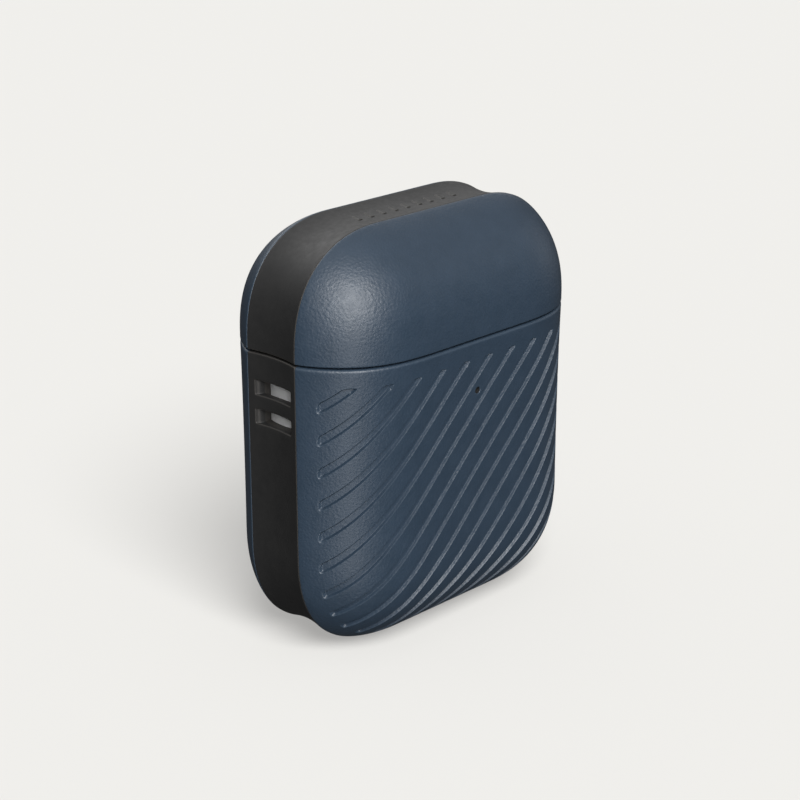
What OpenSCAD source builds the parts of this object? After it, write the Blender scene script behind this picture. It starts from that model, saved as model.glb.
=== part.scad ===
// Wireless earbuds charging case in a two-piece rugged cover.
// Front is -Y, the hinge is at +Y, and the origin is the middle of the foot, on the surface it stands on.

/* [Charging case] */
// Width of the bare charging case
case_w = 44.3; // [42:0.1:54]
// Depth of the bare charging case, front to back
case_d = 21.3; // [20.5:0.1:26]
// Height of the bare charging case
case_h = 53.5; // [50:0.1:66]
// Height of the case's lid above the seam
lid_h = 13.75; // [12.5:0.05:16.5]
// Wall of the case's two shells
case_wall = 1.5; // [1:0.1:1.8]
// Radius of the case's top corners, seen from the front
case_top_r = 12.8; // [11:0.1:13.5]
// Radius of the case's bottom corners, seen from the front
case_bottom_r = 13.2; // [11:0.1:15]

/* [Cover] */
// Cover wall beside the case, at the left and right
side_wall = 2.1; // [1.8:0.1:3]
// Cover wall above and below the case
end_wall = 2; // [1.7:0.1:3]
// Cover wall in front of and behind the case
face_wall = 3.1; // [2.6:0.1:3.7]
// Thickness of the frame's inner wall, behind the panels
liner_wall = 1; // [0.6:0.1:1.4]
// Width of the black band between its two ridges
band_w = 8.9; // [7.5:0.1:11]
// How far the band is hollowed between the ridges
band_sag = 0.54; // [0:0.02:0.8]
// How far the panels' rounding reaches in from the outline
crown_reach = 18.9; // [14:0.1:19.5]
// How far the base panels draw in below the seam
waist = 0.42; // [0:0.02:0.8]
// Gap between the base and the lid at the seam
seam_gap = 0.3; // [0.3:0.05:0.6]

/* [Grooves] */
// Distance between two grooves, measured along the seam
groove_step = 4.43; // [3.6:0.01:6]
// Width of a groove
groove_w = 1.1; // [0.6:0.05:1.6]
// Depth of a groove
groove_depth = 0.4; // [0.2:0.05:0.6]
// Distance on the middle line from the status light down to the next groove
groove_phase = 1.89; // [0:0.01:4]
// Plain margin between the grooves and the panel's outline
groove_margin = 1.35; // [1:0.05:3]
// Plain margin between the grooves and the seam
groove_top_margin = 2.6; // [1.5:0.1:5]

/* [Strap slots] */
// Height of one strap slot
slot_h = 2; // [1.5:0.1:3]
// Length of a strap slot, front to back
slot_l = 6.7; // [5:0.1:7.1]
// Bar between the two slots
slot_bar = 1.95; // [1.5:0.05:3]
// Distance from the seam down to the upper slot
slot_drop = 3.8; // [3:0.1:7]
// Depth of the strap's pocket behind the bar
slot_pocket = 0.6; // [0.3:0.1:0.9]

/* [Hinge] */
// Radius of the hinge's knuckles
knuckle_r = 1.3; // [1.1:0.05:1.4]
// Radius of the hinge pin
pin_r = 0.6; // [0.4:0.05:0.7]
// Clearance of the pin in the lid's knuckle
pin_clearance = 0.04; // [0.02:0.01:0.08]
// Half the length of the lid's middle knuckle
lid_knuckle_half = 5.85; // [4:0.05:8]
// Length of each outer knuckle
outer_knuckle_l = 6; // [3:0.1:7]
// Height of the hinge's leaves
leaf_h = 4.5; // [3:0.1:4.8]

/* [Earbud wells] */
// Radius of the bore that takes an earbud's stem
stem_r = 3.9; // [3:0.1:4.2]
// Radius of the bowl that takes an earbud's head
head_r = 7.6; // [6.5:0.1:7.8]
// How far each bowl's middle lies inwards of its stem bore
head_inset = 2.1; // [1:0.1:3]
// Wall of the wells
well_wall = 0.7; // [0.5:0.1:0.9]
// Room between a stem tube and the shell, for its magnet
magnet_room = 3.75; // [2.6:0.05:6]

/* [Controls] */
// Radius of the setup button
button_r = 2.4; // [1.8:0.1:3]
// Travel of the setup button
button_travel = 0.4; // [0.2:0.05:0.5]
// Distance from the seam down to the middle of the button
button_drop = 12.7; // [11:0.1:16]
// Radius of the opening in the cover around the button
button_opening_r = 4.2; // [3.4:0.1:5.5]
// Radius of the status light's hole
light_r = 0.45; // [0.3:0.05:0.8]
// Distance from the seam down to the status light
light_drop = 7.2; // [6.5:0.1:10]

/* [Hidden] */
$fn = 48;

// Overall sizes and the seam
cover_w = case_w + 2 * side_wall;
cover_d = case_d + 2 * face_wall;
cover_h = case_h + 2 * end_wall;
seam_z = end_wall + case_h - lid_h;
base_top = seam_z - seam_gap / 2;
lid_bottom = seam_z + seam_gap / 2;
band_half = band_w / 2;
cut = 1;
fit_gap = 0.05;
seat_gap = 0.1;
lap = 0.1;
round_trim = 0.01;
big = 2 * cover_h;

// Shape of the outline's corners and of the panels' crown: exponents of a superellipse
corner_n = 2.35;
crown_shoulder = 3.6;
crown_edge = 1.2;
corner_min = 0.3;
corner_steps = 8;
side_steps = 6;
crown_rings = 9;
round_step = 15;

// The case's cavity
cavity_half_w = case_w / 2 - case_wall;
cavity_half_d = case_d / 2 - case_wall;
cavity_bottom = end_wall + case_wall;
cavity_top = end_wall + case_h - case_wall;

// Earbud wells
head_rise = 1;
well_rise = 9;
deck_drop = 0.3;
deck_t = 1.2;
deck_gap = 0.2;
deck_top = base_top - deck_drop;
liner_bottom = lid_bottom + deck_drop;
tube_r = stem_r + well_wall;
stem_x = cavity_half_w - magnet_room - tube_r;
head_x = stem_x - head_inset;
well_y = -0.4;
head_z = seam_z + head_rise;
well_floor = cavity_bottom + well_rise;
back_web_half = 6;
back_web_drop = 5;

// Inner parts: the web plates carry the light, coil and switch
web_t = 0.8;
web_y = 6.4;
web_front = -web_y - web_t;
web_back = web_y + web_t;
board_t = 0.8;
board_rise = 5.5;
board_z = cavity_bottom + board_rise;
board_l = 30;
board_d = 12;
board_corner_r = 1.5;
light_z = seam_z - light_drop;
coil_hole_r = 5;
coil_t = 1;
shield_t = 0.5;
coil_drop = 1.5;
coil_low = cavity_bottom + 8.55;
coil_r = (light_z - coil_drop - coil_low) / 2;
coil_z = coil_low + coil_r;
button_z = seam_z - button_drop;
boss_r = 1.4;
boss_h = 3.4;
boss_x = stem_x - tube_r - seat_gap;
screw_r = 0.5;
screw_gap = 0.05;
screw_head_r = 1;
screw_head_h = 0.6;
screw_socket_r = 0.4;
screw_l = 3;
screw_room = 0.5;
battery_gap = 0.5;
battery_foot_gap = 0.4;
battery_web_gap = 0.3;
battery_r = 1.2;
contact_r = 0.6;
contact_tip_r = 0.4;
contact_tip_l = 0.5;
contact_offset = 1.8;
well_magnet_r = 1.5;
well_magnet_t = 1.6;
well_magnet_drop = 12;
latch_half = 3.5;
latch_h = 2;
latch_gap = 0.25;
sensor_half = 1;
sensor_t = 0.7;
sensor_h = 1.7;
sensor_magnet_half = 1.5;
sensor_magnet_t = 1.5;
led_half_w = 0.8;
led_half_h = 0.6;
led_y = -cavity_half_d + 0.3;

// Setup button, and the switch it presses
button_flange = 0.8;
button_flange_t = 0.65;
button_back = cavity_half_d - seat_gap - button_flange_t;
switch_w = 3.6;
switch_r = 0.4;
switch_t = 0.5;
switch_stem_r = 0.7;

// Adhesive pad between the case's lid and the cover
pad_l = 14;
pad_t = 0.2;
pad_gap = 0.02;
pad_spread = 5;

// Hinge
hinge_back = 0.35;
hinge_y = case_d / 2 + hinge_back;
hinge_z = seam_z;
knuckle_gap = 0.15;
hinge_half = lid_knuckle_half + knuckle_gap + outer_knuckle_l;
hinge_room = 0.35;
leaf_t = 0.7;
leaf_gap = 0.4;
leaf_y = cavity_half_d - leaf_gap - leaf_t;
arm_low = 0.3;
arm_high = 1.5;

// Opening in the cover's rear that the hinge and the walls swing through
window_margin = 2.75;
window_inset = 2.15;
window_half = case_w / 2 - window_margin;
window_below = 3.6;
window_above = 2.4;
window_r = 1.2;

// Plain marks raised on top of the band
mark_reach = 4;
mark_pitch = 2.2;
mark_w = 0.7;
mark_l = 2;
mark_rise = 0.15;
mark_root = 0.3;
mark_lean = 0.35;

// Charging port
port_w = 9;
port_t = 3.3;
port_wall = 0.35;
port_back = 0.6;
tongue_half = 3.35;
tongue_t = 0.7;
tongue_inset = 1.4;
port_opening_w = 13;
port_opening_t = 7;
port_opening_r = 3;

// Half of an outline, up the right side: a rounded rectangle from z0 to z1, inset by s
function half_outline(w, z0, z1, bottom_r, top_r, s) =
  let (
    rb = max(bottom_r - s, corner_min),
    rt = max(top_r - s, corner_min),
    x = w / 2 - s,
    low = z0 + s + rb,
    high = z1 - s - rt,
    e = 2 / corner_n,
    turn = [for (i = [0:corner_steps]) 90 * i / corner_steps]
  )
  concat(
    [for (a = turn) [x - rb + rb * pow(sin(a), e), low - rb * pow(cos(a), e)]],
    [for (i = [1:side_steps - 1]) [x, low + (high - low) * i / side_steps]],
    [for (a = turn) [x - rt + rt * pow(cos(a), e), high + rt * pow(sin(a), e)]]
  );

// A closed ring of points from its right half, each at the depth that depth_at gives for its height
function ring(half, depth_at) =
  let (n = len(half))
  concat(
    [for (p = half) [p[0], depth_at(p[1]), p[1]]],
    [for (i = [n - 1:-1:0]) [-half[i][0], depth_at(half[i][1]), half[i][1]]]
  );

// Skins a stack of rings that run from the back to the front
module loft(rings) {
  n = len(rings[0]);
  last = (len(rings) - 1) * n;
  sides = [
    for (k = [0:len(rings) - 2], i = [0:n - 1])
      let (j = (i + 1) % n, a = k * n, b = a + n)
        each [[b + j, a + j, a + i], [b + i, b + j, a + i]]
  ];
  back = [for (i = [0:n / 2 - 2]) [i, i + 1, n - 2 - i, n - 1 - i]];
  front = [for (f = back) [for (i = [3:-1:0]) last + f[i]]];
  polyhedron(points = [for (r = rings) each r], faces = concat(sides, back, front), convexity = 6);
}

// The case's rounded form, grown by g: a slab with fully round edges
module pillow(g) {
  r = case_d / 2 + g;
  loft([
    for (a = [90:-round_step:-90])
      ring(
        half_outline(case_w + 2 * g, end_wall - g, end_wall + case_h + g, case_bottom_r + g, case_top_r + g,
          r * (1 - cos(a))),
        function(z) r * sin(a)
      )
  ]);
}

// The cover's outline, inset by s
function cover_outline(s) =
  half_outline(cover_w, 0, cover_h, case_bottom_r + side_wall, case_top_r + side_wall, s);

// How far the panels draw in at height z: nothing above the seam and at the foot
function waist_at(z) = z >= seam_z || z <= 0 ? 0 : waist * sin(180 * pow(1 - z / seam_z, 0.8));

// Solid between the band's front ridge and the front panel's crowned face, cut back by t
module crown(t) {
  loft([
    for (k = [0:crown_rings])
      let (
        u = pow(k / crown_rings, 2),
        s = t + (crown_reach - t) * u,
        rise = pow(1 - pow(1 - u, crown_shoulder), 1 / crown_edge)
      )
        ring(
          cover_outline(s),
          function(z) -band_half - (cover_d / 2 - t - waist_at(z) - band_half) * rise
        )
  ]);
}

// The band's solid, hollowed between the ridges
module band() {
  loft([
    for (k = [1:-0.5:-1])
      ring(cover_outline(band_sag * (1 - k * k)), function(z) k * band_half)
  ]);
}

// A plate across Y with rounded corners, its middle at (0, 0), from y0 to y1
module plate_y(w, h, r, y0, y1) {
  translate([0, y1, 0]) rotate([90, 0, 0]) linear_extrude(y1 - y0) round_rect(w, h, r);
}

module round_rect(w, h, r) {
  square([w - 2 * r, h], center = true);
  square([w, h - 2 * r], center = true);
  for (x = [-1, 1], y = [-1, 1])
    translate([x * (w / 2 - r), y * (h / 2 - r)]) circle(r);
}

// A cylinder along Y from y0 to y1
module rod_y(r, y0, y1) {
  translate([0, y0, 0]) rotate([-90, 0, 0]) cylinder(r = r, h = y1 - y0);
}

// A cylinder along X, its middle at x
module rod_x(r, l, x = 0) {
  translate([x - l / 2, 0, 0]) rotate([0, 90, 0]) cylinder(r = r, h = l);
}

// A box given by its two corners
module box(low, high) {
  translate(low) cube(high - low);
}

module below_seam() {
  box([-big, -big, -big], [big, big, base_top]);
}

module above_seam() {
  box([-big, -big, lid_bottom], [big, big, big]);
}

// The opening at the rear of the cover around the hinge
module hinge_window() {
  translate([0, 0, seam_z + (window_above - window_below) / 2])
    plate_y(2 * window_half, window_above + window_below, window_r, case_d / 2 - window_inset, cover_d);
}

// The notch in the rear of the shells, tray and liner around the knuckles
module hinge_notch() {
  reach = knuckle_r + hinge_room;
  box([-hinge_half - hinge_room, leaf_y - seat_gap, hinge_z - reach],
    [hinge_half + hinge_room, cover_d, hinge_z + reach]);
}

module light_hole(y0, y1) {
  translate([0, 0, light_z]) rod_y(light_r, y0, y1);
}

module port_hole(gap) {
  translate([0, 0, -cut]) linear_extrude(board_z + cut)
    round_rect(port_w + 2 * gap, port_t + 2 * gap, port_t / 2 + gap - round_trim);
}

// The strap's two slots through the band's left side, and the pocket behind the bar between them
module strap_slots() {
  top = seam_z - slot_drop;
  for (z = [top - slot_h, top - 2 * slot_h - slot_bar])
    box([-cover_w, -slot_l / 2, z], [-cavity_half_w, slot_l / 2, z + slot_h]);
  box([-case_w / 2 - slot_pocket, -slot_l / 2, top - slot_h - slot_bar - cut],
    [-cavity_half_w, slot_l / 2, top - slot_h + cut]);
}

// The front view of the diagonal grooves, which rise to the right across the panel's field
module groove_lines() {
  points = cover_outline(groove_margin);
  n = len(points);
  first = light_z - groove_phase;
  low = ceil((-cover_w / 2 - first) / groove_step);
  high = floor((seam_z + cover_w / 2 - first) / groove_step);
  intersection() {
    polygon(concat(points, [for (i = [n - 1:-1:0]) [-points[i][0], points[i][1]]]));
    translate([-cover_w, 0]) square([2 * cover_w, seam_z - groove_top_margin]);
    union() for (k = [low:high])
      translate([0, first + k * groove_step]) rotate(45) square([3 * cover_h, groove_w], center = true);
  }
}

// What the grooves take out of a panel, down to groove_depth below its crown
module grooves() {
  difference() {
    rotate([90, 0, 0]) linear_extrude(cover_d) groove_lines();
    crown(groove_depth);
  }
}

module base_frame_solid() {
  band();
  pillow(liner_wall);
  box([-cover_w / 2 + case_bottom_r + side_wall, -band_half, 0],
    [cover_w / 2 - case_bottom_r - side_wall, band_half, end_wall]);
}

// ---- Base ----

module cover_base_frame() {
  color("#262626") difference() {
    intersection() {
      base_frame_solid();
      below_seam();
    }
    pillow(fit_gap);
    hinge_window();
    strap_slots();
    light_hole(-cover_d, 0);
    translate([0, 0, button_z]) rod_y(button_opening_r, 0, cover_d);
    translate([0, 0, -cut]) linear_extrude(case_d / 2)
      round_rect(port_opening_w, port_opening_t, port_opening_r);
  }
}

module cover_front_panel() {
  color("#36475a") difference() {
    intersection() {
      crown(0);
      below_seam();
    }
    pillow(liner_wall);
    grooves();
    light_hole(-cover_d, 0);
  }
}

module cover_back_panel() {
  color("#36475a") difference() {
    intersection() {
      mirror([0, 1, 0]) crown(0);
      below_seam();
    }
    pillow(liner_wall);
    rotate([0, 0, 180]) grooves();
    hinge_window();
    translate([0, 0, button_z]) rod_y(button_opening_r, 0, cover_d);
  }
}

module case_base_shell() {
  color("#c9cbcc") difference() {
    intersection() {
      pillow(0);
      below_seam();
    }
    pillow(-case_wall);
    hinge_notch();
    light_hole(-cover_d, 0);
    port_hole(seat_gap);
    translate([0, 0, button_z]) rod_y(button_r + seat_gap, 0, cover_d);
  }
}

// Flat stadium that fills the case's cavity from z0 to z1
module deck(z0, z1) {
  r = cavity_half_d - deck_gap;
  translate([0, 0, z0]) linear_extrude(z1 - z0) {
    square([2 * (cavity_half_w - cavity_half_d), 2 * r], center = true);
    for (s = [-1, 1]) translate([s * (cavity_half_w - cavity_half_d), 0]) circle(r);
  }
}

module earbud_tray() {
  color("#e4e5e6") difference() {
    union() {
      deck(deck_top - deck_t, deck_top);
      for (s = [-1, 1]) {
        intersection() {
          translate([s * head_x, well_y, head_z]) sphere(head_r + well_wall);
          box([-big, -big, 0], [big, big, deck_top]);
        }
        translate([s * stem_x, well_y, well_floor - well_wall])
          cylinder(r = tube_r, h = deck_top - well_floor);
        translate([s * boss_x, 0, board_z + board_t]) cylinder(r = boss_r, h = boss_h);
      }
      box([-coil_r, web_front, coil_z - coil_r], [coil_r, -web_y, deck_top - deck_t / 2]);
      box([-back_web_half, web_y, button_z - back_web_drop],
        [back_web_half, web_back, deck_top - deck_t / 2]);
    }
    for (s = [-1, 1]) {
      translate([s * head_x, well_y, head_z]) sphere(head_r);
      translate([s * stem_x, well_y, well_floor]) cylinder(r = stem_r, h = big);
      translate([s * boss_x, 0, 0]) cylinder(r = screw_r + screw_gap, h = board_z + screw_l + screw_room);
      for (t = [-1, 1]) contact_place(s, t) cylinder(r = contact_r + fit_gap, h = well_floor);
    }
    hinge_notch();
  }
}

module contact_place(s, t) {
  translate([s * stem_x + t * contact_offset, well_y, 0]) children();
}

module charge_contacts() {
  color("#c8a34a") for (s = [-1, 1], t = [-1, 1]) contact_place(s, t)
    translate([0, 0, board_z + board_t]) {
      cylinder(r = contact_r, h = well_floor - board_z - board_t);
      cylinder(r = contact_tip_r, h = well_floor - board_z - board_t + contact_tip_l);
    }
}

module well_magnets() {
  color("#8c9094") for (s = [-1, 1])
    translate([s * (stem_x + tube_r + seat_gap + well_magnet_t / 2), well_y, seam_z - well_magnet_drop])
      rod_x(well_magnet_r, well_magnet_t);
}

module battery() {
  half = stem_x - tube_r - battery_gap;
  top = head_z - head_r - well_wall - battery_gap;
  bottom = board_z + board_t + boss_h + battery_foot_gap;
  color("#9aa0a6") translate([0, 0, (top + bottom) / 2])
    plate_y(2 * half, top - bottom, battery_r, -web_y + battery_web_gap, web_y - battery_web_gap);
}

module main_board() {
  color("#1f5b3a") difference() {
    translate([0, 0, board_z]) linear_extrude(board_t) round_rect(board_l, board_d, board_corner_r);
    for (s = [-1, 1]) translate([s * boss_x, 0, board_z - cut])
      cylinder(r = screw_r + seat_gap, h = board_t + 2 * cut);
  }
}

module board_screws() {
  color("#a7aaad") for (s = [-1, 1]) translate([s * boss_x, 0, board_z]) {
    cylinder(r = screw_r, h = screw_l);
    difference() {
      translate([0, 0, -screw_head_h]) cylinder(r = screw_head_r, h = screw_head_h);
      translate([0, 0, -cut]) cylinder(r = screw_socket_r, h = cut - screw_head_h / 2, $fn = 6);
    }
  }
}

module charging_port() {
  color("#b9bcc0") {
    difference() {
      translate([0, 0, end_wall + seat_gap]) linear_extrude(board_z - end_wall - seat_gap)
        round_rect(port_w, port_t, port_t / 2 - round_trim);
      translate([0, 0, -cut]) linear_extrude(board_z + cut - port_back)
        round_rect(port_w - 2 * port_wall, port_t - 2 * port_wall, port_t / 2 - port_wall - round_trim);
    }
    box([-tongue_half, -tongue_t / 2, end_wall + tongue_inset],
      [tongue_half, tongue_t / 2, board_z - port_back / 2]);
  }
}

module charging_coil() {
  color("#b87333") translate([0, 0, coil_z]) difference() {
    rod_y(coil_r, web_front - shield_t - coil_t, web_front - shield_t);
    rod_y(coil_hole_r, -cover_d, 0);
  }
}

module coil_shield() {
  color("#3b3d40") translate([0, 0, coil_z])
    plate_y(2 * coil_r, 2 * coil_r, 1, web_front - shield_t, web_front);
}

module status_led() {
  color("#f2f2e6") box([-led_half_w, led_y, light_z - led_half_h],
    [led_half_w, web_front, light_z + led_half_h]);
}

module status_light_guide() {
  color("#dfe6ea") translate([0, 0, light_z])
    rod_y(light_r - fit_gap, -case_d / 2 + fit_gap, led_y);
}

module button_switch() {
  color("#4a4c50") translate([0, 0, button_z]) {
    plate_y(switch_w, switch_w, switch_r, web_back, web_back + switch_t);
    rod_y(switch_stem_r, web_back + switch_t - lap, button_back - button_travel - fit_gap);
  }
}

module lid_sensor() {
  color("#2a2b2d") box([-sensor_half, web_back, deck_top - deck_t - sensor_h],
    [sensor_half, web_back + sensor_t, deck_top - deck_t]);
}

module latch_magnet_base() {
  color("#8c9094") box([-latch_half, -cavity_half_d + latch_gap, deck_top - deck_t - latch_h],
    [latch_half, web_front, deck_top - deck_t]);
}

// One leaf of the hinge, its arms and knuckles lying between the given pairs of x
module leaf(spans, side, bore_r) {
  low = side < 0 ? hinge_z - leaf_h - arm_low : hinge_z + arm_low;
  arm = side < 0 ? [-arm_high, -arm_low] : [arm_low, arm_high];
  reach = max([for (s = spans) s[1]]);
  difference() {
    union() {
      box([-reach, leaf_y, low], [reach, leaf_y + leaf_t, low + leaf_h]);
      for (s = spans) {
        box([s[0], leaf_y, hinge_z + arm[0]], [s[1], hinge_y, hinge_z + arm[1]]);
        translate([0, hinge_y, hinge_z]) rod_x(knuckle_r, s[1] - s[0], (s[0] + s[1]) / 2);
      }
    }
    translate([0, hinge_y, hinge_z]) rod_x(bore_r, big);
  }
}

module hinge_bracket() {
  inner = lid_knuckle_half + knuckle_gap;
  color("#a9adb2") leaf([[-hinge_half, -inner], [inner, hinge_half]], -1, pin_r + pin_clearance / 2);
}

module hinge_pin() {
  color("#c4c8cc") translate([0, hinge_y, hinge_z]) rod_x(pin_r, 2 * hinge_half);
}

// ---- Setup button ----

module setup_button() {
  color("#c9cbcc") translate([0, 0, button_z]) {
    rod_y(button_r + button_flange, button_back, cavity_half_d - seat_gap);
    rod_y(button_r, cavity_half_d - seat_gap - lap, case_d / 2 - seat_gap);
  }
}

// ---- Lid ----

// The adhesive pad between the case's round top and the cover
module pad(r0, r1, l) {
  translate([-l / 2, 0, end_wall + case_h - case_d / 2]) rotate([90, 0, 90])
    linear_extrude(l) intersection() {
      difference() {
        circle(r1);
        circle(r0);
      }
      polygon([[0, 0], [-pad_spread, case_d], [pad_spread, case_d]]);
    }
}

module lid_adhesive_pad() {
  color("#5b5e62") pad(case_d / 2, case_d / 2 + pad_t, pad_l);
}

// A row of plain slanted bars, raised on top of the band
module top_marks() {
  for (k = [-mark_reach:mark_reach])
    translate([k * mark_pitch, 0, cover_h - band_sag])
      multmatrix([[1, mark_lean, 0, 0], [0, 1, 0, 0], [0, 0, 1, 0], [0, 0, 0, 1]])
        translate([-mark_w / 2, -mark_l / 2, -mark_root]) cube([mark_w, mark_l, mark_root + mark_rise]);
}

module cover_lid_frame() {
  color("#262626") {
    difference() {
      intersection() {
        union() {
          band();
          pillow(liner_wall);
        }
        above_seam();
      }
      pillow(fit_gap);
      hinge_window();
      pad(case_d / 4, case_d / 2 + pad_t + pad_gap, pad_l + seat_gap);
    }
    top_marks();
  }
}

module cover_lid_front_panel() {
  color("#36475a") difference() {
    intersection() {
      crown(0);
      above_seam();
    }
    pillow(liner_wall);
  }
}

module cover_lid_back_panel() {
  color("#36475a") difference() {
    intersection() {
      mirror([0, 1, 0]) crown(0);
      above_seam();
    }
    pillow(liner_wall);
    hinge_window();
  }
}

module case_lid_shell() {
  color("#c9cbcc") difference() {
    intersection() {
      pillow(0);
      above_seam();
    }
    pillow(-case_wall);
    hinge_notch();
  }
}

module lid_liner() {
  color("#e4e5e6") difference() {
    union() {
      deck(liner_bottom, liner_bottom + deck_t);
      for (s = [-1, 1]) intersection() {
        translate([s * head_x, well_y, head_z]) sphere(head_r + well_wall);
        box([-big, -big, liner_bottom], [big, big, big]);
      }
    }
    for (s = [-1, 1]) translate([s * head_x, well_y, head_z]) sphere(head_r);
    hinge_notch();
  }
}

module latch_magnet_lid() {
  z = liner_bottom + deck_t;
  color("#8c9094") box([-latch_half, -cavity_half_d + latch_gap, z], [latch_half, web_front, z + latch_h]);
}

module lid_sensor_magnet() {
  z = liner_bottom + deck_t;
  color("#8c9094") box([-sensor_magnet_half, web_y, z],
    [sensor_magnet_half, web_y + sensor_magnet_t, z + sensor_magnet_t]);
}

module hinge_arm() {
  color("#a9adb2") leaf([[-lid_knuckle_half, lid_knuckle_half]], 1, pin_r + pin_clearance);
}

cover_base_frame();
cover_front_panel();
cover_back_panel();
case_base_shell();
earbud_tray();
well_magnets();
charge_contacts();
battery();
main_board();
board_screws();
charging_port();
charging_coil();
coil_shield();
status_led();
status_light_guide();
button_switch();
lid_sensor();
latch_magnet_base();
hinge_bracket();
hinge_pin();
setup_button();
cover_lid_frame();
cover_lid_front_panel();
cover_lid_back_panel();
lid_adhesive_pad();
case_lid_shell();
lid_liner();
latch_magnet_lid();
lid_sensor_magnet();
hinge_arm();
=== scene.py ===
"""A wireless earbuds case in a rugged two-piece cover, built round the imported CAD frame.

Lengths below are in millimetres, in the frame's axes: front is -Y, the hinge is at +Y, up is +Z.
Meshes are scaled to metres when they are made.
"""
import math

import bmesh
import bpy
import numpy as np
from mathutils import Matrix, Vector
from mathutils.geometry import delaunay_2d_cdt


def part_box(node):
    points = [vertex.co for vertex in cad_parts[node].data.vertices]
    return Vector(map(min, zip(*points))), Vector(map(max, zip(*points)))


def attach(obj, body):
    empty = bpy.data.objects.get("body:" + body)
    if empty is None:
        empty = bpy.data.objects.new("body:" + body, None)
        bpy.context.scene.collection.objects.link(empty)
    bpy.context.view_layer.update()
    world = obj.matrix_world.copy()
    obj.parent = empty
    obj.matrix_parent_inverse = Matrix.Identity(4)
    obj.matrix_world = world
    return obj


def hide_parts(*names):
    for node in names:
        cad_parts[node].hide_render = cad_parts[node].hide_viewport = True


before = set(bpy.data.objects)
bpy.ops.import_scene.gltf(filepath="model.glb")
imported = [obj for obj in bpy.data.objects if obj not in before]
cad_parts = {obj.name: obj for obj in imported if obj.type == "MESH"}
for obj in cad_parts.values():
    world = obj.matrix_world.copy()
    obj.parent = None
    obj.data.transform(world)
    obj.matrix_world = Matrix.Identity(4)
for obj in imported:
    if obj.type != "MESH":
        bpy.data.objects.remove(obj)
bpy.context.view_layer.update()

MM = 0.001


def box_mm(node):
    """A CAD node's lowest and highest corners in millimetres."""
    return [[v / MM for v in corner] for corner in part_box(node)]


# ---- Driving sizes, from the frame ----
BASE_HIGH = box_mm("cover_base_frame")[1]
LID_LOW, LID_HIGH = box_mm("cover_lid_frame")
CASE_LOW, CASE_HIGH = box_mm("case_base_shell")
HALF_W = BASE_HIGH[0]
TOP = LID_HIGH[2]
BASE_TOP = BASE_HIGH[2]
LID_BOTTOM = LID_LOW[2]
SEAM = (BASE_TOP + LID_BOTTOM) / 2
BAND = box_mm("cover_back_panel")[0][1]
CASE_HALF_W = CASE_HIGH[0]
CASE_HALF_D = CASE_HIGH[1]
CASE_BOTTOM = CASE_LOW[2]
CASE_TOP = box_mm("case_lid_shell")[1][2]
SIDE_WALL = HALF_W - CASE_HALF_W
LINER_R = BASE_HIGH[1]
LINER = LINER_R - CASE_HALF_D
HALF_D = {-1: -box_mm("cover_front_panel")[0][1], 1: box_mm("cover_back_panel")[1][1]}
LIGHT_Z = sum(c[2] for c in box_mm("status_led")) / 2
BUTTON_Z = sum(c[2] for c in box_mm("setup_button")) / 2
HINGE_Y = sum(c[1] for c in box_mm("hinge_pin")) / 2

# ---- Shape of the cover ----
CASE_TOP_R, CASE_BOTTOM_R = 12.8, 13.2
TOP_R, BOTTOM_R = CASE_TOP_R + SIDE_WALL, CASE_BOTTOM_R + SIDE_WALL
CORNER_N = 2.35
REACH, SHOULDER, EDGE = 18.9, 3.6, 1.2
WAIST, SAG = 0.42, 0.54
SEAM_FILLET, LID_FILLET, BAND_FILLET = 0.4, 0.2, 0.16
RIDGE_FILLET, SLOT_FILLET = 0.13, 0.14
GROOVE_STEP, FIRST_GROOVE = 4.43, LIGHT_Z - 1.89
GROOVE_HALF, GROOVE_DEEP = 0.5, 0.42
GROOVE_OUT, GROOVE_IN, GROOVE_END_R = 0.06, 0.15, 0.3
GROOVE_MARGIN, GROOVE_TOP_MARGIN = {-1: 1.35, 1: 3.6}, 2.6
WINDOW_HALF, WINDOW_BELOW, WINDOW_ABOVE, WINDOW_R = CASE_HALF_W - 2.75, 3.6, 2.4, 1.2
LIGHT_R, LIGHT_FILLET = 0.45, 0.12
BUTTON_OPENING_R, BUTTON_FILLET = 4.2, 0.5
SLOT_HALF, SLOT_H, SLOT_BAR, SLOT_DROP = 3.35, 2.0, 1.95, 3.8
SLOT_LEVELS = [SEAM - SLOT_DROP - SLOT_H / 2, SEAM - SLOT_DROP - SLOT_H * 1.5 - SLOT_BAR]
SLOT_R, SLOT_RAMP = 0.18, 0.5
PORT_OPENING = (13.0, 7.0, 3.0)
FOOT_HALF, FOOT_BLEND, FOOT_REACH = HALF_W - BOTTOM_R, 1.3, 12
CASE_WALL, CASE_GAP, HINGE_GAP, PORT_GAP = 1.5, 0.05, 0.35, 0.2
BUTTON_R, BUTTON_GAP, BUTTON_FLANGE, BUTTON_EDGE, BUTTON_DISH = 2.4, 0.1, 0.65, 0.25, 0.12
MARK_REACH, MARK_PITCH, MARK_LEAN = 4, 2.2, 0.35
MARK_W, MARK_L, MARK_R, MARK_RISE = 0.7, 2.0, 0.12, 0.15

# ---- Spacing of the mesh points ----
RIM_INSET = 0.03
PATH_STEP, LID_STEP, INNER_STEP = 0.3, 0.42, 1.1
ALONG_STEP, WALL_STEP = 0.36, 0.042
TIP_ALONG, TIP_ACROSS, TIP_REACH = 0.065, 0.06, 0.66
MARK_STEP = 0.075


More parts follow.
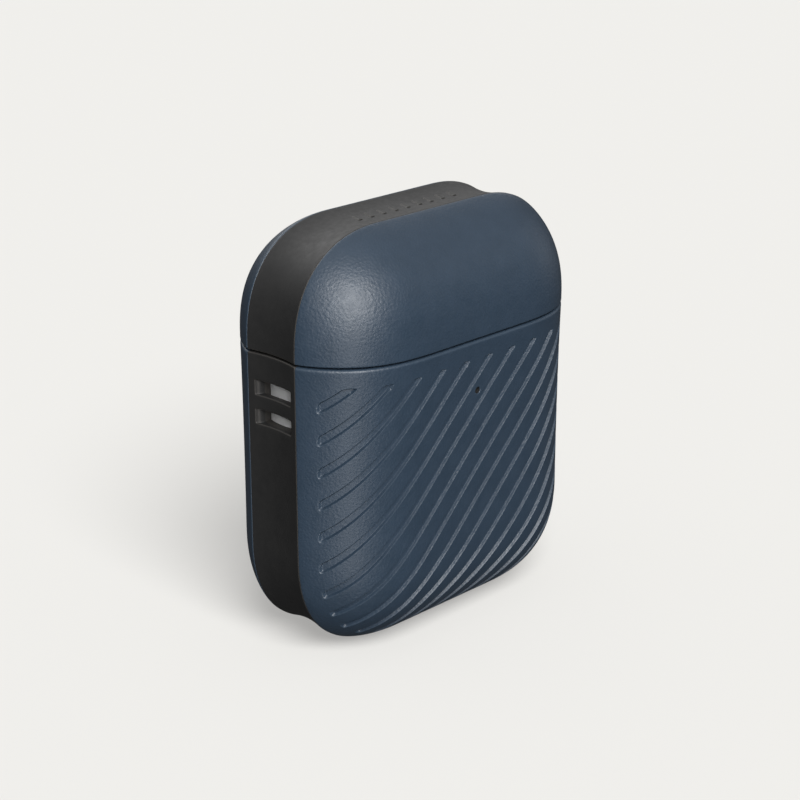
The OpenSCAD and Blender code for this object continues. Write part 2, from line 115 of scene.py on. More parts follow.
# ---- Surfaces: side -1 is the front and 1 the back ----
def inset(x, z):
    """How far a point of the front view lies inside the cover's outline."""
    ax = np.abs(x)
    s = np.minimum(HALF_W - ax, np.minimum(z, TOP - z))
    for r, dz in ((BOTTOM_R, BOTTOM_R - z), (TOP_R, z - (TOP - TOP_R))):
        dx = ax - (HALF_W - r)
        turn = (dx > 0) & (dz > 0)
        norm = np.maximum(dx, 0) ** CORNER_N + np.maximum(dz, 0) ** CORNER_N
        s = np.where(turn, r - norm ** (1 / CORNER_N), s)
    return s


def crown(x, z, side):
    """Depth of a panel's outer face over a point of the front view."""
    u = np.clip(inset(x, z), 0, REACH) / REACH
    rise = (1 - (1 - u) ** SHOULDER) ** (1 / EDGE)
    below = np.clip(1 - z / SEAM, 0, 1)
    waist = WAIST * np.sin(math.pi * below ** 0.8)
    return BAND + (HALF_D[side] - waist - BAND) * rise


def crown_normal(x, z, side):
    """Unit outward normals of the panel on that side."""
    e = 0.01
    gx = (crown(x + e, z, side) - crown(x - e, z, side)) / (2 * e)
    gz = (crown(x, z + e, side) - crown(x, z - e, side)) / (2 * e)
    n = np.stack([-gx, np.full_like(gx, side), -gz], axis=-1)
    return n / np.linalg.norm(n, axis=-1, keepdims=True)


def smooth(t):
    t = np.clip(t, 0, 1)
    return t * t * (3 - 2 * t)


def corner_gap(a, b):
    """Distance from a corner that two sides make, given the distances past each: negative inside."""
    return np.hypot(np.maximum(a, 0), np.maximum(b, 0)) + np.minimum(np.maximum(a, b), 0)


def groove_lines():
    """Heights at which the grooves' middle lines cross the panel's middle line."""
    low = math.ceil((-HALF_W - FIRST_GROOVE) / GROOVE_STEP)
    high = math.floor((SEAM + HALF_W - FIRST_GROOVE) / GROOVE_STEP)
    return np.array([FIRST_GROOVE + k * GROOVE_STEP for k in range(low, high + 1)])


def groove_offset(x, z):
    """Distance across from the nearest groove's middle line."""
    line = (z - x - FIRST_GROOVE) / GROOVE_STEP
    return np.abs(line - np.round(line)) * GROOVE_STEP / math.sqrt(2)


def groove_end(x, z, side):
    """Distance past the line on which the grooves end: negative where they run."""
    return np.maximum(GROOVE_MARGIN[side] - inset(x, z), z - (SEAM - GROOVE_TOP_MARGIN))


def groove(x, z, side):
    """Depth of the grooves at points of the front view. They lean the other way on the back."""
    x = -side * x
    across = groove_offset(x, z) - GROOVE_HALF
    gap = corner_gap(across + GROOVE_END_R, groove_end(x, z, side) + GROOVE_END_R) - GROOVE_END_R
    return GROOVE_DEEP * smooth((GROOVE_OUT - gap) / (GROOVE_OUT + GROOVE_IN))


def liner_depth(x, z):
    """Depth of the frame's inner wall, which the panels lie on."""
    s = np.clip(inset(x, z) - (SIDE_WALL - LINER), 0, LINER_R)
    return np.sqrt(np.maximum(LINER_R ** 2 - (LINER_R - s) ** 2, 0))


LINER_INSET = SIDE_WALL - LINER + LINER_R - math.sqrt(LINER_R ** 2 - BAND ** 2)


def outline(s, cut, above, corner=72, straight=120):
    """Points of the outline at inset s, counter-clockwise from the front, above or below the cut."""
    r = (TOP_R if above else BOTTOM_R) - s
    turn = np.linspace(0, math.pi / 2, corner + 1)
    cx, cz = HALF_W - s - r, r
    reach = TOP - s - cut if above else cut - s
    arc_x = cx + r * np.cos(turn) ** (2 / CORNER_N)
    arc_z = r * (1 - np.sin(turn) ** (2 / CORNER_N))
    side = np.linspace(reach, cz, straight + 1)[:-1] if reach > cz else np.empty(0)
    arc_x, arc_z = arc_x[arc_z < reach], arc_z[arc_z < reach]
    flat = np.linspace(cx, 0, 41)[1:]
    hx = np.concatenate([np.full(len(side), HALF_W - s), arc_x, flat])
    hz = np.concatenate([side, arc_z, np.zeros(len(flat))])
    x = np.concatenate([hx, -hx[-2::-1]])
    z = np.concatenate([hz, hz[-2::-1]])
    if above:
        return np.stack([x, TOP - s - z], axis=1)
    return np.stack([-x, s + z], axis=1)


def rounded_path(corners):
    """An open path through (x, z, r) corners, each turned with radius r."""
    pts = [np.array(c[:2], float) for c in corners]
    path = [pts[0]]
    for i in range(1, len(pts) - 1):
        r = corners[i][2]
        d0 = (pts[i] - pts[i - 1]) / np.linalg.norm(pts[i] - pts[i - 1])
        d1 = (pts[i + 1] - pts[i]) / np.linalg.norm(pts[i + 1] - pts[i])
        centre = pts[i] - d0 * r + d1 * r
        steps = max(4, math.ceil(r * math.pi / 2 / 0.15))
        for k in range(steps + 1):
            t = k / steps * math.pi / 2
            path.append(centre - d1 * r * math.cos(t) + d0 * r * math.sin(t))
    path.append(pts[-1])
    full = [path[0]]
    for a, b in zip(path, path[1:]):
        count = max(1, round(float(np.linalg.norm(b - a)) / PATH_STEP))
        full += [a + (b - a) * k / count for k in range(1, count + 1)]
    return np.array(full)


def ring_loop(cx, cz, r, count):
    """A round hole's loop, clockwise so that the domain lies on its left."""
    t = -np.linspace(0, 2 * math.pi, count, endpoint=False)
    return np.stack([cx + r * np.cos(t), cz + r * np.sin(t)], axis=1)


def rounded_loop(cx, cz, w, h, r, step=PATH_STEP):
    """A rounded rectangle's loop, clockwise."""
    path = []
    for qx, qz, start in ((1, 1, 90), (1, -1, 0), (-1, -1, -90), (-1, 1, -180)):
        hub = np.array([cx + qx * (w / 2 - r), cz + qz * (h / 2 - r)])
        for k in range(9):
            t = math.radians(start - k * 90 / 8)
            path.append(hub + [r * math.cos(t), r * math.sin(t)])
    full = []
    for a, b in zip(path, path[1:] + path[:1]):
        count = max(1, round(math.dist(a, b) / step))
        full += [a + (b - a) * k / count for k in range(count)]
    return np.array(full)


def outward(loop, closed):
    """Unit 2-D normals that point out of the domain on the loop's left."""
    if closed:
        d = np.roll(loop, -1, axis=0) - np.roll(loop, 1, axis=0)
    else:
        d = np.gradient(loop, axis=0)
    n = np.stack([d[:, 1], -d[:, 0]], axis=1)
    return n / np.linalg.norm(n, axis=1, keepdims=True)


# ---- Mesh making ----
def kept_triangles(tris, walls):
    """The triangles on the left of the walls, spread from each wall to what it encloses."""
    sides = {}
    for k, t in enumerate(tris):
        for i in range(3):
            sides[(t[i], t[(i + 1) % 3])] = k
    todo = [sides[w] for w in walls if w in sides]
    kept = set(todo)
    while todo:
        t = tris[todo.pop()]
        for i in range(3):
            way = (t[i], t[(i + 1) % 3])
            back = way[::-1]
            if way in walls or back in walls:
                continue
            other = sides.get(back)
            if other is not None and other not in kept:
                kept.add(other)
                todo.append(other)
    return sorted(kept)


class Skin:
    """Vertices and faces of one closed piece, put together from sheets and strips."""

    def __init__(self):
        self.points, self.faces, self.count = [], [], 0

    def add(self, points):
        points = np.asarray(points, float)
        ids = np.arange(self.count, self.count + len(points))
        self.points.append(points)
        self.count += len(points)
        return ids

    def strip(self, a, b, closed=False):
        n = len(a)
        for i in range(n if closed else n - 1):
            j = (i + 1) % n
            self.faces.append((a[i], a[j], b[j], b[i]))

    def strips(self, rows, closed=False):
        for a, b in zip(rows, rows[1:]):
            self.strip(a, b, closed)

    def fan(self, hub, rim):
        for a, b in zip(rim, rim[1:]):
            self.faces.append((hub, a, b))

    def rim(self, arc, line, lift):
        """Adds an arc and the line that closes it, and gives their ids and the loop they make."""
        arc_ids = self.add(lift(arc))
        line_ids = np.concatenate([arc_ids[-1:], self.add(lift(line[1:-1])), arc_ids[:1]])
        loop = np.concatenate([arc, line[1:-1]]), np.concatenate([arc_ids, line_ids[1:-1]])
        return arc_ids, line_ids, loop

    def sheet(self, loops, inner, lift):
        """Fills between the loops, given as (2-D points, ids) with the sheet on their left.

        The inner points are lifted into place.
        """
        flat = [p for pts, _ in loops for p in pts]
        ids = [int(i) for _, row in loops for i in row]
        edges, start = [], 0
        for pts, _ in loops:
            n = len(pts)
            edges += [(start + i, start + (i + 1) % n) for i in range(n)]
            start += n
        ids += [int(i) for i in self.add(lift(inner))]
        flat += list(inner)
        verts = [Vector((float(p[0]), float(p[1]))) for p in flat]
        out, _, tris, origin, _, _ = delaunay_2d_cdt(verts, edges, [], 0, 1e-6, True)
        spot = [ids[o[0]] if o else -1 for o in origin]
        place = {}
        for k, o in enumerate(origin):
            for i in o:
                place[i] = k
        walls = {(place[a], place[b]) for a, b in edges}
        for k in kept_triangles(tris, walls):
            face = tuple(spot[i] for i in tris[k])
            if -1 not in face:
                self.faces.append(face)

    def make(self, name):
        bm = bmesh.new()
        pts = np.concatenate(self.points) * MM
        used = sorted({i for f in self.faces for i in f})
        place = {i: bm.verts.new(pts[i]) for i in used}
        for f in self.faces:
            if len(set(f)) == len(f):
                corner = [place[i] for i in f]
                if bm.faces.get(corner) is None:
                    bm.faces.new(corner)
        bmesh.ops.remove_doubles(bm, verts=bm.verts, dist=1e-8)
        bmesh.ops.recalc_face_normals(bm, faces=bm.faces)
        return finish_mesh(bm, name)


def finish_mesh(bm, name, sharp=40):
    mesh = bpy.data.meshes.new(name)
    bm.to_mesh(mesh)
    bm.free()
    mesh.shade_smooth()
    mesh.set_sharp_from_angle(angle=math.radians(sharp))
    piece = bpy.data.objects.new(name, mesh)
    bpy.context.collection.objects.link(piece)
    return piece


def grid_points(across, up):
    """Points at every pairing of the two rows of values."""
    a, b = np.meshgrid(across, up)
    return np.stack([a.ravel(), b.ravel()], axis=1)


def clear_of(pts, loops, gap):
    """The points that lie more than gap from every point of the loops."""
    for loop in loops:
        keep = np.ones(len(pts), bool)
        for chunk in np.array_split(np.arange(len(pts)), max(1, len(pts) // 4000)):
            d = pts[chunk][:, None, :] - loop[None, :, :]
            keep[chunk] = (d ** 2).sum(axis=2).min(axis=1) > gap ** 2
        pts = pts[keep]
    return pts


def past_corners(p, middle, half, r):
    """How far each point lies past the centres of a rounded rectangle's corners: r on its rim."""
    gap = np.maximum(np.abs(p - middle) - (half - r), 0)
    return np.hypot(gap[:, 0], gap[:, 1])


# ---- The blue panels ----
def offsets_across():
    """Offsets from a groove's middle to half way to the next, close together over its walls."""
    half = GROOVE_STEP / math.sqrt(2) / 2
    walls = np.arange(GROOVE_HALF - GROOVE_IN - 0.06, GROOVE_HALF + GROOVE_OUT + 0.07, WALL_STEP)
    plain = np.linspace(walls[-1] + 0.16, half, 4)
    side = np.concatenate([[0.13], walls, plain])
    return np.concatenate([-side[::-1][1:], [0], side])


def diagonal_grid(step, offsets):
    """Points a step apart along the grooves, at each offset from every groove's middle line."""
    along = np.arange(-HALF_W, HALF_W + SEAM, step)
    across = np.add.outer(groove_lines() / math.sqrt(2), offsets).ravel()
    u, v = np.meshgrid(along, across, indexing="ij")
    return np.stack([(u - v).ravel(), (u + v).ravel()], axis=1) / math.sqrt(2)


def panel_points(side, above, cut):
    """Points inside a panel's front view: rings along the rim, then a grid that follows the grooves."""
    rings = [0.07, 0.14, 0.24, 0.38, 0.56, 0.76]
    if above:
        rings += [1.0, 1.3, 1.65, 2]
    deep = rings[-1] + 0.15
    pts = [outline(s, cut, above, 110 if above else 150, 230)[2:-2] for s in rings]
    if above:
        grid = grid_points(np.arange(-HALF_W, HALF_W, LID_STEP), np.arange(cut + 0.25, TOP, LID_STEP))
        pts.append(grid[inset(grid[:, 0], grid[:, 1]) > deep])
        return np.concatenate(pts)
    rows = diagonal_grid(ALONG_STEP, offsets_across())
    tips = diagonal_grid(TIP_ALONG, np.arange(-TIP_REACH, TIP_REACH + 0.01, TIP_ACROSS))
    for points, at_tip in ((rows, False), (tips, True)):
        x, z = points[:, 0], points[:, 1]
        tip = (np.abs(groove_end(x, z, side) + 0.12) < 0.42) & (groove_offset(x, z) < TIP_REACH + 0.02)
        keep = (tip == at_tip) & (inset(x, z) > deep) & (z < cut - 0.1)
        pts.append(points[keep] * [-side, 1])
    return np.concatenate(pts)


def on_panel(p, side, above, grow, rim, holes):
    """Which points lie on a panel: past its cut, inside its rim, and off its window and holes."""
    x, z = p[:, 0], p[:, 1]
    ok = z > LID_BOTTOM + grow if above else z < BASE_TOP - grow
    ok &= inset(x, z) > rim
    if side > 0:
        low, high = SEAM - WINDOW_BELOW - grow, SEAM + WINDOW_ABOVE + grow
        half = np.array([WINDOW_HALF + grow, (high - low) / 2])
        ok &= past_corners(p, (0, (low + high) / 2), half, WINDOW_R + grow) >= WINDOW_R + grow
    for loop in holes:
        centre = loop.mean(axis=0)
        r = np.linalg.norm(loop[0] - centre)
        ok &= np.hypot(x - centre[0], z - centre[1]) > r * 0.999
    return ok


def cut_line(arc, cut, side, above, edge):
    """The line that closes a panel's arc, along its cut and round the hinge's window on the back."""
    corners = [(*arc[-1], 0)]
    if side > 0:
        rise = 1 if above else -1
        w = (WINDOW_HALF + edge) * -rise
        z = SEAM + (WINDOW_ABOVE if above else -WINDOW_BELOW) + rise * edge
        r = WINDOW_R + edge
        corners += [(w, cut, 0.8), (w, z, r), (-w, z, r), (-w, cut, 0.8)]
    corners.append((*arc[0], 0))
    return rounded_path(corners)


def panel_holes(side, above):
    """The loops of a panel's round holes where their fillets start, with each fillet."""
    if above:
        return []
    if side < 0:
        return [(ring_loop(0, LIGHT_Z, LIGHT_R + LIGHT_FILLET, 32), LIGHT_FILLET)]
    return [(ring_loop(0, BUTTON_Z, BUTTON_OPENING_R + BUTTON_FILLET, 96), BUTTON_FILLET)]


def cover_panel(name, side, above):
    """One blue panel: crowned outer face, rounded edges, and the face that lies on the frame."""
    skin = Skin()
    edge = LID_FILLET if above else SEAM_FILLET
    cut = LID_BOTTOM + edge if above else BASE_TOP - edge
    rise = 1 if above else -1
    arc = outline(RIM_INSET, cut, above)
    line = cut_line(arc, cut, side, above, edge)
    holes = panel_holes(side, above)

    def lift(p):
        x, z = p[:, 0], p[:, 1]
        face = np.stack([x, side * crown(x, z, side), z], axis=1)
        if above:
            return face
        return face - crown_normal(x, z, side) * groove(x, z, side)[:, None]

    def lift_in(p):
        depth = np.maximum(liner_depth(p[:, 0], p[:, 1]), BAND)
        return np.stack([p[:, 0], side * depth, p[:, 1]], axis=1)

    def round_over(loop, n2, fillet):
        out = []
        base_n = crown_normal(loop[:, 0], loop[:, 1], side)
        for k in range(1, 6):
            t = k / 5 * math.pi / 2
            p = loop + n2 * fillet * math.sin(t)
            sunk = base_n * fillet * (1 - math.cos(t))
            solid = lift(p) - sunk
            solid[:, 0], solid[:, 2] = p[:, 0] - sunk[:, 0], p[:, 1]
            out.append(skin.add(solid))
        return out

    # outer face
    arc_ids, line_ids, rim = skin.rim(arc, line, lift)
    rings = [(loop, skin.add(lift(loop))) for loop, _ in holes]
    hole_loops = [loop for loop, _ in rings]
    pts = panel_points(side, above, cut)
    pts = pts[on_panel(pts, side, above, edge, 0.02, hole_loops)]
    pts = clear_of(pts, [line] + hole_loops, 0.12)
    if side < 0 and holes:
        pts = pts[np.hypot(pts[:, 0], pts[:, 1] - LIGHT_Z) > 0.9]
        pts = np.concatenate([pts] + [ring_loop(0, LIGHT_Z, r, 32) for r in (0.66, 0.8)])
    skin.sheet([rim] + rings, pts, lift)

    # face on the frame, with the ends of its cut moved in to the frame's edge
    in_arc = outline(LINER_INSET, cut - rise * edge, above)
    squeeze = (HALF_W - LINER_INSET) / (HALF_W - RIM_INSET)
    normals = outward(line, False)
    normals[0] = normals[-1] = (0, -rise)
    in_line = line + normals * edge
    near_end = smooth((np.abs(in_line[:, 0]) - WINDOW_HALF - 1.2) / 3) if side > 0 else 1
    in_line[:, 0] *= 1 + (squeeze - 1) * near_end
    in_arc_ids, in_line_ids, in_rim = skin.rim(in_arc, in_line, lift_in)
    in_rings = []
    for loop, fillet in holes:
        centre = loop.mean(axis=0)
        small = centre + (loop - centre) * (1 - fillet / np.linalg.norm(loop[0] - centre))
        in_rings.append((small, skin.add(lift_in(small))))
    in_loops = [loop for loop, _ in in_rings]
    grid = grid_points(np.arange(-22, 22.1, INNER_STEP), np.arange(1.5, TOP - 1, INNER_STEP))
    grid = grid[on_panel(grid, side, above, 0, LINER_INSET, in_loops)]
    grid = grid[inset(grid[:, 0], grid[:, 1]) > LINER_INSET + 0.4]
    skin.sheet([in_rim] + in_rings, clear_of(grid, [in_line] + in_loops, 0.4), lift_in)

    # rounded edges along the cut and round the holes, with their walls
    edge_rows = [line_ids] + round_over(line, normals, edge)
    skin.strips(edge_rows + [in_line_ids])
    for (loop, fillet), (_, ids), (_, deep_ids) in zip(holes, rings, in_rings):
        skin.strips([ids, *round_over(loop, outward(loop, True), fillet), deep_ids], closed=True)

    # rounded ridge, then the flat face against the band
    arc_n = outward(arc, False)
    arc_n[0], arc_n[-1] = (np.sign(arc[0][0]), 0), (np.sign(arc[-1][0]), 0)
    ridge = [arc_ids]
    start_y = np.abs(lift(arc)[:, 1])
    for k in range(1, 5):
        t = k / 4 * math.pi / 2
        p = arc - arc_n * RIDGE_FILLET * (1 - math.cos(t))
        y = start_y + (BAND - start_y) * math.sin(t)
        ridge.append(skin.add(np.stack([p[:, 0], side * y, p[:, 1]], axis=1)))
    skin.strips(ridge + [in_arc_ids])
    skin.fan(in_arc_ids[0], [row[0] for row in ridge[::-1]] + [row[-1] for row in edge_rows[1:]])
    skin.fan(in_arc_ids[-1], [row[-1] for row in ridge[::-1]] + [row[0] for row in edge_rows[1:]])
    return skin.make(name)


# ---- Lofted forms ----
def case_ring(g, s):
    """The case's outline grown by g and inset by s, as a closed loop of (x, z)."""
    low, high = CASE_BOTTOM - g + s, CASE_TOP + g - s
    half = CASE_HALF_W + g - s
    steps = 20
    right = []
    for r, z0, way in ((CASE_BOTTOM_R + g - s, low, 1), (CASE_TOP_R + g - s, high, -1)):
        arc = []
        for k in range(steps + 1):
            t = k / steps * math.pi / 2
            up, out = math.cos(t) ** (2 / CORNER_N), math.sin(t) ** (2 / CORNER_N)
            arc.append((half - r + r * out, z0 + way * (r - r * up)))
        right += arc if way > 0 else arc[::-1]
    return right + [(-x, z) for x, z in right[::-1]]


def pillow(name, g):
    """The case's rounded form grown by g, as a closed solid."""
    r = CASE_HALF_D + g
    bm = bmesh.new()
    rows = []
    for a in range(-90, 91, 5):
        t = math.radians(a)
        ring = case_ring(g, r * (1 - math.cos(t)))
        rows.append([bm.verts.new((x * MM, r * math.sin(t) * MM, z * MM)) for x, z in ring])
    for row, after in zip(rows, rows[1:]):
        for i in range(len(row)):
            j = (i + 1) % len(row)
            bm.faces.new((row[i], row[j], after[j], after[i]))
    half = len(rows[0]) // 2
    for cap, way in ((rows[0], -1), (rows[-1], 1)):
        for i in range(half - 1):
            face = (cap[i], cap[i + 1], cap[2 * half - 2 - i], cap[2 * half - 1 - i])
            bm.faces.new(face[::way])
    bmesh.ops.recalc_face_normals(bm, faces=bm.faces)
    return finish_mesh(bm, name)


def block(low, high):
    """A cutting box between two corners."""
    bm = bmesh.new()
    bmesh.ops.create_cube(bm, size=1)
    for v in bm.verts:
        v.co = [(low[i] if v.co[i] < 0 else high[i]) * MM for i in range(3)]
    return finish_mesh(bm, "tool")


def rod(r, y0, y1, z, sides=96):
    """A cutting rod along Y."""
    bm = bmesh.new()
    middle = Matrix.Translation(Vector((0, (y0 + y1) / 2, z)) * MM)
    bmesh.ops.create_cone(bm, cap_ends=True, segments=sides, radius1=r * MM, radius2=r * MM,
                          depth=(y1 - y0) * MM, matrix=middle @ Matrix.Rotation(math.pi / 2, 4, "X"))
    return finish_mesh(bm, "tool")


def prism(loop, low, high, axis):
    """A cutting prism: a loop in the plane across the axis, drawn out from low to high."""
    bm = bmesh.new()
    ends = []
    for level in (low, high):
        row = []
        for a, b in loop:
            point = (a, level, b) if axis == "Y" else (a, b, level)
            row.append(bm.verts.new(Vector(point) * MM))
        ends.append(row)
    for i in range(len(loop)):
        j = (i + 1) % len(loop)
        bm.faces.new((ends[0][i], ends[0][j], ends[1][j], ends[1][i]))
    bm.faces.new(ends[0])
    bm.faces.new(ends[1])
    bmesh.ops.recalc_face_normals(bm, faces=bm.faces)
    return finish_mesh(bm, "tool")


def combine(piece, tools):
    """Cuts each tool out of the piece and deletes it."""
    for tool in tools:
        cutter = piece.modifiers.new("cut", "BOOLEAN")
        cutter.operation, cutter.solver, cutter.object = "DIFFERENCE", "MANIFOLD", tool
    bpy.context.view_layer.update()
    shaped = piece.evaluated_get(bpy.context.evaluated_depsgraph_get())
    mesh = bpy.data.meshes.new_from_object(shaped)
    piece.modifiers.clear()
    piece.data = mesh
    mesh.materials.clear()
    mesh.shade_smooth()
    mesh.set_sharp_from_angle(angle=math.radians(35))
    for tool in tools:
        bpy.data.objects.remove(tool)
    return piece


# ---- The frame's walls and the case's shells ----
FAR = 60
WINDOW_DEPTH = 2.15
SLOT_GAP = 0.6


def slot_tools():
    tools = []
    deep, rear = CASE_WALL - CASE_HALF_W, SLOT_HALF - SLOT_RAMP
    for z in SLOT_LEVELS:
        tools.append(block((-FAR, -SLOT_HALF, z - SLOT_H / 2), (deep, rear, z + SLOT_H / 2)))
    low, high = min(SLOT_LEVELS), max(SLOT_LEVELS)
    tools.append(block((-CASE_HALF_W - SLOT_GAP, -SLOT_HALF, low), (deep, rear, high)))
    return tools


def notch_tool():
    low, high = box_mm("hinge_bracket"), box_mm("hinge_arm")
    reach = high[1][1] - HINGE_Y + HINGE_GAP
    half = low[1][0] + HINGE_GAP
    return block((-half, low[0][1] - 0.1, SEAM - reach), (half, FAR, SEAM + reach))


def other_half(above):
    """A box over the half of the object that a piece leaves out."""
    if above:
        return block((-FAR, -FAR, -FAR), (FAR, FAR, LID_BOTTOM))
    return block((-FAR, -FAR, BASE_TOP), (FAR, FAR, FAR))


def frame_wall(name, above):
    """The frame's inner wall, which wraps the case and carries the panels."""
    wall = pillow(name, LINER)
    window = rounded_loop(0, SEAM + (WINDOW_ABOVE - WINDOW_BELOW) / 2, 2 * WINDOW_HALF,
                          WINDOW_ABOVE + WINDOW_BELOW, WINDOW_R)
    tools = [pillow("tool", CASE_GAP), prism(window, CASE_HALF_D - WINDOW_DEPTH, FAR, "Y"),
             other_half(above)]
    if not above:
        w, h, r = PORT_OPENING
        tools.append(rod(LIGHT_R, -FAR, 0, LIGHT_Z, 32))
        tools.append(rod(BUTTON_OPENING_R, 0, FAR, BUTTON_Z))
        tools.append(prism(rounded_loop(0, 0, w, h, r), -1, CASE_HALF_D, "Z"))
        tools += slot_tools()
    return combine(wall, tools)


def case_shell(name, above):
    """One of the case's two white shells."""
    shell = pillow(name, 0)
    tools = [pillow("tool", -CASE_WALL), notch_tool(), other_half(above)]
    if not above:
        low, high = box_mm("charging_port")
        w, t = (high[i] - low[i] + PORT_GAP for i in (0, 1))
        tools.append(rod(LIGHT_R, -FAR, 0, LIGHT_Z, 32))
        tools.append(rod(BUTTON_R + BUTTON_GAP, 0, FAR, BUTTON_Z))
        tools.append(prism(rounded_loop(0, 0, w, t, t / 2 - 0.01), -1, high[2], "Z"))
    return combine(shell, tools)


# ---- The band between the panels ----
class Rail:
    """The outline as a path: places and normals by distance from its start at the seam."""

    def __init__(self, cut, above):
        path = outline(0, cut, above, 1200, 800)
        gaps = np.linalg.norm(np.diff(path, axis=0), axis=1)
        self.path = path
        self.along = np.concatenate([[0], np.cumsum(gaps)])
        self.length = self.along[-1]
        self.middle = self.length / 2

    def at(self, t):
        return np.stack([np.interp(t, self.along, self.path[:, i]) for i in (0, 1)], axis=-1)

    def normal(self, t):
        e = 0.25
        a, b = np.clip(t - e, 0, self.length), np.clip(t + e, 0, self.length)
        d = self.at(b) - self.at(a)
        n = np.stack([d[..., 1], -d[..., 0]], axis=-1)
        return n / np.linalg.norm(n, axis=-1, keepdims=True)


def marks(t, y):
    """Height of the plain slanted marks on top, t being the distance from the band's middle."""
    field = np.full_like(t, 9.0)
    for k in range(-MARK_REACH, MARK_REACH + 1):
        along = np.abs(t - k * MARK_PITCH - MARK_LEAN * y) - (MARK_W / 2 - MARK_R)
        across = np.abs(y) - (MARK_L / 2 - MARK_R)
        field = np.minimum(field, corner_gap(along, across) - MARK_R)
    return MARK_RISE * smooth((0.05 - field) / 0.13)


def band_rim(ends, half):
    """The band's edge, counter-clockwise in (t, y), and each point's step out to its fillet's end."""
    t_rows = np.arange(ends[0], ends[1], PATH_STEP)[1:]
    y_rows = np.linspace(-half, half, 31)[1:-1]
    sides = (
        (ends[0], -half, 180, [(t, -half) for t in t_rows], (0, -RIDGE_FILLET)),
        (ends[1], -half, 270, [(ends[1], y) for y in y_rows], (BAND_FILLET, 0)),
        (ends[1], half, 0, [(t, half) for t in t_rows[::-1]], (0, RIDGE_FILLET)),
        (ends[0], half, 90, [(ends[0], y) for y in y_rows[::-1]], (-BAND_FILLET, 0)),
    )
    edge, offset = [], []
    for t, y, start, row, step in sides:
        for k in range(5):
            a = math.radians(start + k * 22.5)
            edge.append((t + 0.004 * math.cos(a), y + 0.004 * math.sin(a)))
            offset.append((BAND_FILLET * math.cos(a), RIDGE_FILLET * math.sin(a)))
        edge += row
        offset += [step] * len(row)
    return np.array(edge), np.array(offset), 0.0


def band_openings(rail):
    """The port's and the slots' loops in (t, y), each with its steps in and its end wall's slope."""
    w, h, r = PORT_OPENING
    grow = 2 * SLOT_FILLET
    found = [(rounded_loop(rail.middle, 0, w + grow, h + grow, r + SLOT_FILLET), 0.0)]
    for z in SLOT_LEVELS:
        loop = rounded_loop(BASE_TOP - z, 0, SLOT_H + grow, 2 * SLOT_HALF + grow,
                            SLOT_R + SLOT_FILLET, 0.2)
        found.append((loop, SLOT_RAMP))
    return [(loop, outward(loop, True) * SLOT_FILLET, ramp) for loop, ramp in found]


def on_band(p, ends, half, loops, grow, share):
    """Which points lie on the band: within its ends and edges, and off its rounded openings."""
    ok = (p[:, 0] > ends[0]) & (p[:, 0] < ends[1]) & (np.abs(p[:, 1]) < half)
    for loop in loops:
        low, high = loop.min(axis=0), loop.max(axis=0)
        size = (high - low) / 2
        r = (SLOT_R if size[0] < 3 else PORT_OPENING[2]) + grow
        ok &= past_corners(p, (low + high) / 2, size, r) > r * share
    return ok


def band_points(rail, above, ends, half):
    """Points over the band's outer face in (t, y), close together round the marks."""
    grid = grid_points(np.arange(ends[0] + 0.2, ends[1], 0.45 if above else 0.5),
                       np.linspace(-half + 0.25, half - 0.25, 22))
    if not above:
        return grid
    reach = MARK_REACH * MARK_PITCH + 1.2
    near = (np.abs(grid[:, 0] - rail.middle) < reach) & (np.abs(grid[:, 1]) < MARK_L / 2 + 0.3)
    fine = grid_points(np.arange(-reach, reach, MARK_STEP),
                       np.arange(-MARK_L / 2 - 0.25, MARK_L / 2 + 0.26, MARK_STEP))
    return np.concatenate([grid[~near], fine + [rail.middle, 0]])


